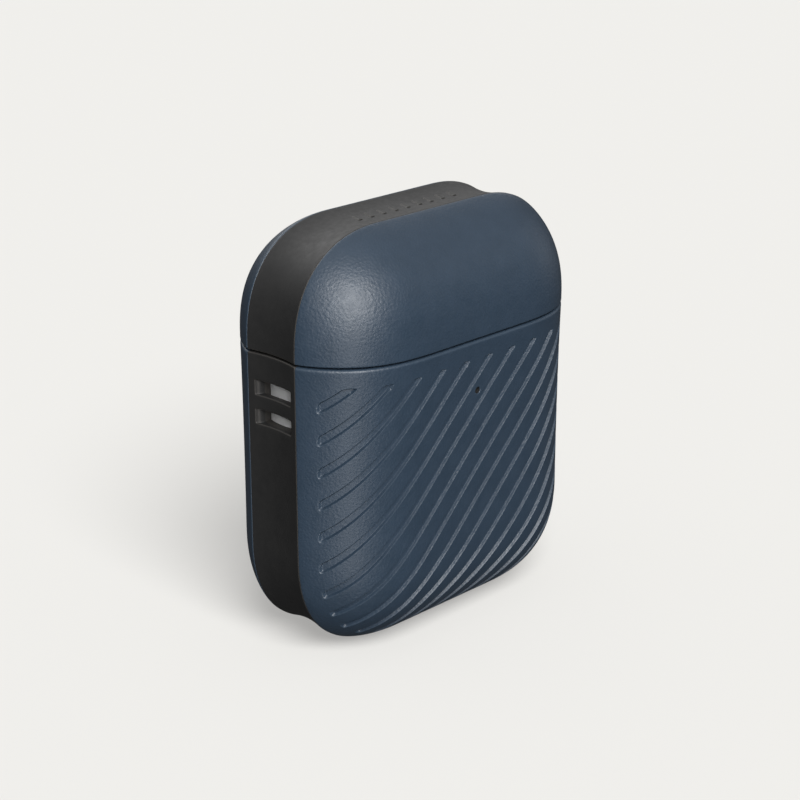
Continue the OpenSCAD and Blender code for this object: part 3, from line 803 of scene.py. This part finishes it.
def band(name, above):
    """The black strap of the frame: hollowed between its two ridges, with its slots, port and marks."""
    skin = Skin()
    rail = Rail(LID_BOTTOM if above else BASE_TOP, above)
    half = BAND - RIDGE_FILLET
    ends = BAND_FILLET, rail.length - BAND_FILLET
    rims = [band_rim(ends, half)] + ([] if above else band_openings(rail))

    def lift(p):
        t, y = p[:, 0], p[:, 1]
        spot = rail.at(t)
        sag = SAG * (1 - (y / BAND) ** 2)
        if above:
            sag = sag - marks(rail.middle - t, y)
        else:
            foot = 1 - smooth((np.abs(spot[:, 0]) - FOOT_HALF + FOOT_BLEND) / FOOT_BLEND)
            sag = np.where(np.abs(t - rail.middle) < FOOT_REACH, sag * (1 - foot), sag)
        flat = spot - rail.normal(t) * sag[:, None]
        return np.stack([flat[:, 0], y, flat[:, 1]], axis=1)

    def lift_in(p):
        y = np.clip(p[:, 1], -BAND, BAND)
        depth = SIDE_WALL - LINER + LINER_R - np.sqrt(LINER_R ** 2 - y ** 2)
        flat = rail.at(p[:, 0]) - rail.normal(p[:, 0]) * depth[:, None]
        return np.stack([flat[:, 0], p[:, 1], flat[:, 1]], axis=1)

    def surface_normal(p):
        e = 0.02
        dt = lift(p + [e, 0]) - lift(p - [e, 0])
        dy = lift(p + [0, e]) - lift(p - [0, e])
        n = np.cross(dt, dy)
        n /= np.linalg.norm(n, axis=1, keepdims=True)
        out = rail.normal(p[:, 0])
        way = np.sign(n[:, 0] * out[:, 0] + n[:, 2] * out[:, 1])
        return n * way[:, None]

    # outer face
    edges = [loop for loop, _, _ in rims]
    loops = [(loop, skin.add(lift(loop))) for loop in edges]
    grid = band_points(rail, above, ends, half)
    grid = grid[on_band(grid, ends, half, edges[1:], SLOT_FILLET, 0.998)]
    skin.sheet(loops, clear_of(grid, edges, 0.16), lift)

    # rounded edges, with the walls of the openings
    in_loops = []
    for (loop, off, ramp), (_, ids) in zip(rims, loops):
        base_n = surface_normal(loop)
        radius = np.linalg.norm(off, axis=1)[:, None]
        rows = [ids]
        for k in range(1, 6):
            a = k / 5 * math.pi / 2
            sunk = base_n * radius * (1 - math.cos(a))
            rows.append(skin.add(lift(loop + off * math.sin(a)) - sunk))
        deep = loop + off
        if ramp:
            top, floor, behind = skin.points[-1], lift_in(deep), deep[:, 1] + SLOT_HALF
            for k in range(1, 6):
                f = k / 6
                spot = top + (floor - top) * f
                spot[:, 1] -= ramp * math.sqrt(1 - (1 - f) ** 2) * behind / (2 * SLOT_HALF)
                rows.append(skin.add(spot))
            deep[:, 1] -= ramp * behind / (2 * SLOT_HALF)
        rows.append(skin.add(lift_in(deep)))
        skin.strips(rows, closed=True)
        in_loops.append((deep, rows[-1]))

    # inner face
    in_edges = [loop for loop, _ in in_loops]
    grid = grid_points(np.arange(0.8, rail.length - 0.5, 1.2), np.linspace(-BAND + 0.7, BAND - 0.7, 7))
    grid = grid[on_band(grid, (0, rail.length), BAND, in_edges[1:], 0, 0.99)]
    skin.sheet(in_loops, clear_of(grid, in_edges, 0.35), lift_in)
    return skin.make(name)


# ---- Details that the finishes need: the painted shade in the light hole, and the edge mask for painted highlights ----
# Convex edges that turn by between these many degrees fade into the painted edge highlight.
EDGE_HIGHLIGHT_FROM, EDGE_HIGHLIGHT_TO = 7, 20


def paint_shade_in_light_hole(panel, painted_shade_material):
    """Paints shade on the wall of the small front hole: the wall's deep faces get the black material,
    which stands in for the shade inside the hole.
    """
    mesh = panel.data
    mesh.materials.append(painted_shade_material)
    for face in mesh.polygons:
        x, y, z = face.center / MM
        inside = math.hypot(x, z - LIGHT_Z) < LIGHT_R + 0.06
        if inside and y > -HALF_D[-1] + WAIST + 0.1:
            # painted shade: black on the hole's deep wall
            face.material_index = 1


def mark_edges(mesh):
    """Notes on each point how convex its edges are: 0 on a smooth face, 1 on a sharp edge. The note is
    the mask of the painted edge highlight.
    """
    bm = bmesh.new()
    bm.from_mesh(mesh)
    turn = [max((e.calc_face_angle_signed(0) for e in v.link_edges), default=0) for v in bm.verts]
    bm.free()
    edge_highlight_mask = smooth((np.degrees(turn) - EDGE_HIGHLIGHT_FROM) / (EDGE_HIGHLIGHT_TO - EDGE_HIGHLIGHT_FROM))
    layer = mesh.attributes.new("edge_highlight_mask", "FLOAT", "POINT")
    layer.data.foreach_set("value", edge_highlight_mask.astype(np.float32))


# ---- Turned pieces ----
def turned(name, profile, z, sides=96):
    """A closed piece turned about the Y axis at height z, from its (radius, y) profile."""
    bm = bmesh.new()
    rows = []
    for r, y in profile:
        if r == 0:
            rows.append([bm.verts.new(Vector((0, y, z)) * MM)])
            continue
        row = []
        for k in range(sides):
            t = 2 * math.pi * k / sides
            row.append(bm.verts.new(Vector((r * math.cos(t), y, z + r * math.sin(t))) * MM))
        rows.append(row)
    for a, b in zip(rows, rows[1:]):
        for k in range(sides):
            j = (k + 1) % sides
            corner = [a[k % len(a)], a[j % len(a)], b[j % len(b)], b[k % len(b)]]
            bm.faces.new(list(dict.fromkeys(corner)))
    bmesh.ops.recalc_face_normals(bm, faces=bm.faces)
    return finish_mesh(bm, name, 30)


def rounded_edge(r, y, fillet, dish):
    """The outer end of a turned profile: round its rim and dish its face."""
    rim = []
    for k in range(7):
        t = k / 6 * math.pi / 2
        rim.append((r - fillet * (1 - math.cos(t)), y - fillet * (1 - math.sin(t))))
    face = []
    for k in range(1, 9):
        f = k / 8
        face.append(((r - fillet) * (1 - f), y - dish * smooth(f)))
    return rim + face


def setup_button():
    (x0, back, z0), (x1, front, z1) = box_mm("setup_button")
    flange_r = (x1 - x0) / 2
    shoulder = back + BUTTON_FLANGE
    profile = [(0, back), (flange_r - 0.1, back), (flange_r, back + 0.1), (flange_r, shoulder - 0.1),
               (flange_r - 0.1, shoulder), (BUTTON_R, shoulder)]
    profile += rounded_edge(BUTTON_R, front, BUTTON_EDGE, BUTTON_DISH)
    return turned("button_cap", profile, (z0 + z1) / 2)


# ---- Materials ----
def fill(node, values):
    """Sets a node's inputs by name."""
    for key, value in values.items():
        node.inputs[key].default_value = value


class Surface:
    """A procedural material. Its textures run in millimetres, in the object's own frame."""

    def __init__(self, name, stretch=(1, 1, 1)):
        self.material = bpy.data.materials.new(name)
        self.material.use_nodes = True
        self.tree = self.material.node_tree
        self.shader = self.tree.nodes["Principled BSDF"]
        place = self.node("ShaderNodeMapping")
        place.inputs["Scale"].default_value = [v / MM for v in stretch]
        self.link(self.node("ShaderNodeTexCoord").outputs["Object"], place.inputs["Vector"])
        self.place = place.outputs["Vector"]
        self.normal = None

    def node(self, kind, **settings):
        node = self.tree.nodes.new(kind)
        for key, value in settings.items():
            setattr(node, key, value)
        return node

    def link(self, a, b):
        self.tree.links.new(a, b)

    def noise(self, per_mm, detail=4.0):
        node = self.node("ShaderNodeTexNoise")
        self.link(self.place, node.inputs["Vector"])
        fill(node, {"Scale": per_mm, "Detail": detail, "Roughness": 0.55})
        return node.outputs["Fac"]

    def cells(self, per_mm, feature="SMOOTH_F1"):
        node = self.node("ShaderNodeTexVoronoi", feature=feature)
        self.link(self.place, node.inputs["Vector"])
        node.inputs["Scale"].default_value = per_mm
        return node.outputs["Distance"]

    def ramp(self, fac, low, high, start=0.3, end=0.7):
        """Maps fac from start to end onto low to high: numbers or colours."""
        if isinstance(low, tuple):
            node = self.node("ShaderNodeValToRGB")
            first, last = node.color_ramp.elements
            first.position, first.color = start, (*low, 1)
            last.position, last.color = end, (*high, 1)
            self.link(fac, node.inputs["Fac"])
            return node.outputs["Color"]
        node = self.node("ShaderNodeMapRange")
        fill(node, {"From Min": start, "From Max": end, "To Min": low, "To Max": high})
        self.link(fac, node.inputs["Value"])
        return node.outputs["Result"]

    def paint_edge_highlight(self, colour, edge, amount):
        """Paints a highlight of the edge colour onto the convex edges, which mark_edges() notes on the
        mesh.
        """
        edge_highlight_mask = self.node("ShaderNodeAttribute", attribute_name="edge_highlight_mask").outputs["Fac"]
        point = self.ramp(edge_highlight_mask, 0.0, amount, 0, 1)
        # painted highlight: the edge colour is mixed in by the edge mask
        mix = self.node("ShaderNodeMix", data_type="RGBA")
        self.link(point, mix.inputs["Factor"])
        self.link(colour, mix.inputs[6])
        mix.inputs[7].default_value = (*edge, 1)
        return mix.outputs[2]

    def raise_by(self, height, depth):
        """Adds relief of that depth in millimetres."""
        bump = self.node("ShaderNodeBump")
        bump.inputs["Distance"].default_value = depth * MM
        bump.inputs["Strength"].default_value = 1.0
        self.link(height, bump.inputs["Height"])
        if self.normal is not None:
            self.link(self.normal, bump.inputs["Normal"])
        self.normal = bump.outputs["Normal"]

    def finish(self, colour, roughness, **fixed):
        self.link(colour, self.shader.inputs["Base Color"])
        self.link(roughness, self.shader.inputs["Roughness"])
        if self.normal is not None:
            self.link(self.normal, self.shader.inputs["Normal"])
        fill(self.shader, {key.replace("_", " "): value for key, value in fixed.items()})
        return self.material


def blue_leather():
    """Fine-grained, satin blue, with pebbles of about 0.3 mm and a painted highlight on its edges."""
    s = Surface("blue_leather")
    tone = s.ramp(s.noise(0.35), (0.0190, 0.0345, 0.0560), (0.0230, 0.0400, 0.0640))
    # painted highlight: a lighter blue on the convex edges
    colour = s.paint_edge_highlight(tone, (0.06, 0.09, 0.125), 0.15)
    s.raise_by(s.cells(3.1), 0.034)
    s.raise_by(s.noise(5.5, 3), 0.016)
    rough = s.ramp(s.noise(1.1, 5), 0.42, 0.50)
    return s.finish(colour, rough, Specular_IOR_Level=0.65)


def mottled(name, tones, tone, relief, depth, sheen, roughness, stretch=(1, 1, 1), paint_edge_highlight=None, **fixed):
    """A plain material, whose tones, relief and sheen each follow their own noise, with a painted
    highlight on its edges if one is given.
    """
    s = Surface(name, stretch)
    colour = s.ramp(s.noise(*tone), *tones)
    if paint_edge_highlight:
        # painted highlight on the convex edges
        colour = s.paint_edge_highlight(colour, *paint_edge_highlight)
    s.raise_by(s.noise(*relief), depth)
    return s.finish(colour, s.ramp(s.noise(*sheen), *roughness), **fixed)


def black_elastomer():
    """Matte black rubber, with the faint texture of its mould and a brownish painted highlight on its
    edges.
    """
    tones = (0.0130, 0.0130, 0.0132), (0.0165, 0.0163, 0.0162)
    # the edge colour and amount give the painted highlight on the convex edges
    return mottled("black_elastomer", tones, (0.4,), (7, 2), 0.006, (1.5, 4), (0.52, 0.62),
                   paint_edge_highlight=((0.05, 0.045, 0.04), 0.45), Specular_IOR_Level=0.4)


def white_plastic(name, low, high, *roughness, grain):
    # the pale edge colour is a painted highlight on the convex edges
    return mottled(name, (low, high), (0.15,), (3, 3), grain, (0.9, 6), roughness,
                   paint_edge_highlight=((0.9, 0.9, 0.9), 0.3), Specular_IOR_Level=0.5)


def metal(name, low, high, *roughness, stretch=(1, 1, 1), depth=0.004):
    """A metal whose brushing runs along the axis that stretch makes small."""
    return mottled(name, (low, high), (4, 6), (9, 3), depth, (6, 6), roughness, stretch, Metallic=1.0)


def dark_part(name, low, high, *roughness, depth=0.01):
    return mottled(name, (low, high), (2, 5), (6, 3), depth, (3,), roughness)


def battery_foil():
    """The pouch's aluminium laminate, slightly creased."""
    tones = (0.50, 0.52, 0.54), (0.66, 0.67, 0.69)
    return mottled("battery_foil", tones, (1.2, 6), (0.8, 5), 0.12, (2.5,), (0.32, 0.48),
                   (1, 1, 0.4), Metallic=0.9)


def clear_light():
    """The clear light guide and its lamp."""
    tones = (0.55, 0.56, 0.55), (0.64, 0.65, 0.63)
    return mottled("clear_light", tones, (1,), (8, 2), 0.004, (2,), (0.14, 0.24),
                   Transmission_Weight=0.9)


def wound_copper():
    """Enamelled copper wire, wound flat in turns of 0.35 mm about the coil's middle."""
    s = Surface("wound_copper")
    low, high = box_mm("charging_coil")
    waves = s.node("ShaderNodeTexWave", wave_type="RINGS", rings_direction="SPHERICAL",
                   bands_direction="X")
    away = s.node("ShaderNodeVectorMath", operation="SUBTRACT")
    s.link(s.place, away.inputs[0])
    away.inputs[1].default_value = (0, (low[1] + high[1]) / 2, (low[2] + high[2]) / 2)
    s.link(away.outputs["Vector"], waves.inputs["Vector"])
    waves.inputs["Scale"].default_value = 0.9
    s.raise_by(waves.outputs["Fac"], 0.12)
    colour = s.ramp(waves.outputs["Fac"], (0.30, 0.11, 0.05), (0.72, 0.36, 0.19), 0.1, 0.8)
    return s.finish(colour, s.ramp(s.noise(3), 0.28, 0.4), Metallic=1.0)


def green_board():
    """Solder mask over the board's copper tracks."""
    s = Surface("green_board")
    edges = s.cells(0.8, "DISTANCE_TO_EDGE")
    tracks = s.ramp(edges, (0.03, 0.20, 0.09), (0.012, 0.10, 0.045), 0.08, 0.14)
    s.raise_by(edges, 0.02)
    return s.finish(tracks, s.ramp(s.noise(2), 0.3, 0.42), Specular_IOR_Level=0.5)


def make_finishes():
    """Every slot's material, by the record's slot names."""
    return {
        "cover_blue": blue_leather(),
        "cover_black": black_elastomer(),
        # The case's white is toned down to a light grey: painted shade, standing in for the shade on
        # the case seen through the slots.
        "case_white": white_plastic("gloss_white", (0.50, 0.505, 0.51), (0.54, 0.54, 0.54),
                                    0.2, 0.3, grain=0.002),
        "liner_white": white_plastic("matte_white", (0.6, 0.61, 0.62), (0.66, 0.66, 0.66),
                                     0.42, 0.52, grain=0.006),
        "steel": metal("brushed_steel", (0.5, 0.51, 0.53), (0.66, 0.66, 0.68), 0.26, 0.42,
                       stretch=(0.08, 1, 1)),
        "magnet": metal("plated_magnet", (0.5, 0.51, 0.52), (0.6, 0.61, 0.62), 0.12, 0.24,
                        depth=0.002),
        "contact_gold": metal("gold_contact", (0.72, 0.52, 0.2), (0.84, 0.64, 0.3), 0.18, 0.3,
                              depth=0.002),
        "battery_foil": battery_foil(),
        "board_green": green_board(),
        "copper": wound_copper(),
        "ferrite": dark_part("ferrite", (0.045, 0.045, 0.05), (0.075, 0.075, 0.08), 0.5, 0.65),
        "light": clear_light(),
        "chip_black": dark_part("moulded_chip", (0.02, 0.02, 0.021), (0.035, 0.035, 0.036),
                                0.4, 0.55, depth=0.006),
        "adhesive": dark_part("foam_adhesive", (0.09, 0.09, 0.1), (0.14, 0.14, 0.15),
                              0.7, 0.85, depth=0.04),
    }


# ---- Camera, light and floor ----
AZIMUTH, ELEVATION = math.radians(45.293), math.radians(20.456)
DISTANCE, LENS = 265.71, 87.39
AIM_RIGHT, AIM_UP = -0.698, 0.872
SENSOR = 36
WORLD_LOW, WORLD_HIGH = 0.055, 0.5
FLOOR_HALF = 4.0
FLOOR_TONE = (0.32, 0.317, 0.305)
FLOOR_TINT, FLOOR_GLOW = (1.0, 0.988, 0.965), 0.375
OVERHEAD_WAY, OVERHEAD_SPREAD, OVERHEAD_POWER = (-0.42, -0.86, 1), 36, 5.4
SOFTBOX_DISTANCE = 700
# each softbox: the way it lies, its width and height, and its power
SOFTBOXES = {
    "key": ((-0.45, -0.71, 0.55), (440, 440), 6.4),
    "front": ((-0.60, -0.78, -0.16), (260, 700), 1.5),
    "fill": ((0.95, -0.30, 0.20), (400, 400), 0.3),
    "back": ((0.60, 0.66, 0.40), (520, 300), 0.55),
    "rear": ((0.05, 0.90, 0.75), (500, 400), 1.8),
}


def make_camera():
    level = math.cos(ELEVATION)
    ahead = Vector((math.sin(AZIMUTH) * level, math.cos(AZIMUTH) * level, -math.sin(ELEVATION)))
    right = Vector((math.cos(AZIMUTH), -math.sin(AZIMUTH), 0))
    up = right.cross(ahead)
    data = bpy.data.cameras.new("camera")
    data.lens, data.sensor_width = LENS, SENSOR
    data.clip_start, data.clip_end = 0.01, 20
    cam = bpy.data.objects.new("camera", data)
    place = Vector((0, 0, TOP / 2)) + right * AIM_RIGHT + up * AIM_UP - ahead * DISTANCE
    turn = Matrix((right, up, -ahead)).transposed().to_4x4()
    cam.matrix_world = Matrix.Translation(place * MM) @ turn
    bpy.context.collection.objects.link(cam)
    bpy.context.scene.camera = cam


def lamp(name, kind, way, power):
    """A lamp whose light comes from that direction."""
    data = bpy.data.lights.new(name, kind)
    data.energy = power
    made = bpy.data.objects.new(name, data)
    made.rotation_euler = Vector(way).to_track_quat("Z", "Y").to_euler()
    bpy.context.collection.objects.link(made)
    return made


def softbox(name, way, size, power):
    """A large soft panel that lights the object and not the floor."""
    made = lamp(name, "AREA", way, power)
    made.data.shape, made.data.size, made.data.size_y = "RECTANGLE", size[0] * MM, size[1] * MM
    made.location = (Vector(way).normalized() * SOFTBOX_DISTANCE + Vector((0, 0, TOP / 2))) * MM
    return made


def overhead():
    """The soft light on the floor, which gives the object its short shadow."""
    made = lamp("overhead", "SUN", OVERHEAD_WAY, OVERHEAD_POWER)
    made.data.angle = math.radians(OVERHEAD_SPREAD)
    return made


def light_only(made, floor, state):
    """Links a lamp to the floor, or to all but the floor."""
    group = bpy.data.collections.new(made.name + "_floor")
    group.objects.link(floor)
    made.light_linking.receiver_collection = group
    group.collection_objects[0].light_linking.link_state = state


def studio_world():
    """Plain soft surroundings: brighter overhead than around, and dim from below."""
    world = bpy.data.worlds.new("studio")
    world.use_nodes = True
    tree = world.node_tree
    height = tree.nodes.new("ShaderNodeSeparateXYZ")
    tree.links.new(tree.nodes.new("ShaderNodeTexCoord").outputs["Generated"], height.inputs["Vector"])
    scale = tree.nodes.new("ShaderNodeMapRange")
    scale.inputs["From Min"].default_value = -1
    tree.links.new(height.outputs["Z"], scale.inputs["Value"])
    ramp = tree.nodes.new("ShaderNodeValToRGB")
    ends = zip(ramp.color_ramp.elements, (0.6, 1.0), (WORLD_LOW, WORLD_HIGH))
    for element, place, level in ends:
        element.position, element.color = place, (level, level, level, 1)
    tree.links.new(scale.outputs["Result"], ramp.inputs["Fac"])
    tree.links.new(ramp.outputs["Color"], tree.nodes["Background"].inputs["Color"])
    bpy.context.scene.world = world


def pale_floor():
    """A seamless floor, which neither shows in the object nor shades it."""
    bm = bmesh.new()
    bmesh.ops.create_grid(bm, x_segments=2, y_segments=2, size=FLOOR_HALF)
    floor = finish_mesh(bm, "floor")
    floor.visible_diffuse = False
    floor.visible_glossy = False
    floor.visible_shadow = False
    mat = bpy.data.materials.new("floor")
    mat.use_nodes = True
    shader = mat.node_tree.nodes["Principled BSDF"]
    fill(shader, {"Base Color": (*FLOOR_TONE, 1), "Roughness": 1.0, "Specular IOR Level": 0.0,
                  "Emission Color": (*FLOOR_TINT, 1), "Emission Strength": FLOOR_GLOW})
    floor.data.materials.append(mat)
    return floor


def make_stage():
    floor = pale_floor()
    studio_world()
    bpy.context.scene.view_settings.view_transform = "Standard"
    light_only(overhead(), floor, "INCLUDE")
    for name, (way, size, power) in SOFTBOXES.items():
        light_only(softbox(name, way, size, power), floor, "EXCLUDE")


make_camera()
make_stage()

PIECES = (
    (cover_panel("front_panel", -1, False), "cover_front_panel", "base", "cover_blue"),
    (cover_panel("back_panel", 1, False), "cover_back_panel", "base", "cover_blue"),
    (cover_panel("lid_front_panel", -1, True), "cover_lid_front_panel", "lid", "cover_blue"),
    (cover_panel("lid_back_panel", 1, True), "cover_lid_back_panel", "lid", "cover_blue"),
    (band("base_band", False), "cover_base_frame", "base", "cover_black"),
    (frame_wall("base_frame_wall", False), "cover_base_frame", "base", "cover_black"),
    (band("lid_band", True), "cover_lid_frame", "lid", "cover_black"),
    (frame_wall("lid_frame_wall", True), "cover_lid_frame", "lid", "cover_black"),
    (case_shell("case_base", False), "case_base_shell", "base", "case_white"),
    (case_shell("case_lid", True), "case_lid_shell", "lid", "case_white"),
    (setup_button(), "setup_button", "button", "case_white"),
)
FINISHES = make_finishes()
for piece, node, body, slot in PIECES:
    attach(piece, body)
    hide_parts(node)
    piece.data.materials.append(FINISHES[slot])
    mark_edges(piece.data)

# painted shade: the front light hole's wall is given the black material
paint_shade_in_light_hole(bpy.data.objects["front_panel"], FINISHES["cover_black"])

SLOT_NODES = {
    "liner_white": "earbud_tray lid_liner",
    "magnet": "well_magnets latch_magnet_base latch_magnet_lid lid_sensor_magnet",
    "contact_gold": "charge_contacts",
    "battery_foil": "battery",
    "board_green": "main_board",
    "steel": "board_screws charging_port hinge_bracket hinge_pin hinge_arm",
    "copper": "charging_coil",
    "ferrite": "coil_shield",
    "light": "status_led status_light_guide",
    "chip_black": "button_switch lid_sensor",
    "adhesive": "lid_adhesive_pad",
}
for slot, nodes in SLOT_NODES.items():
    for node in nodes.split():
        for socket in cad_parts[node].material_slots:
            socket.material = FINISHES[slot]
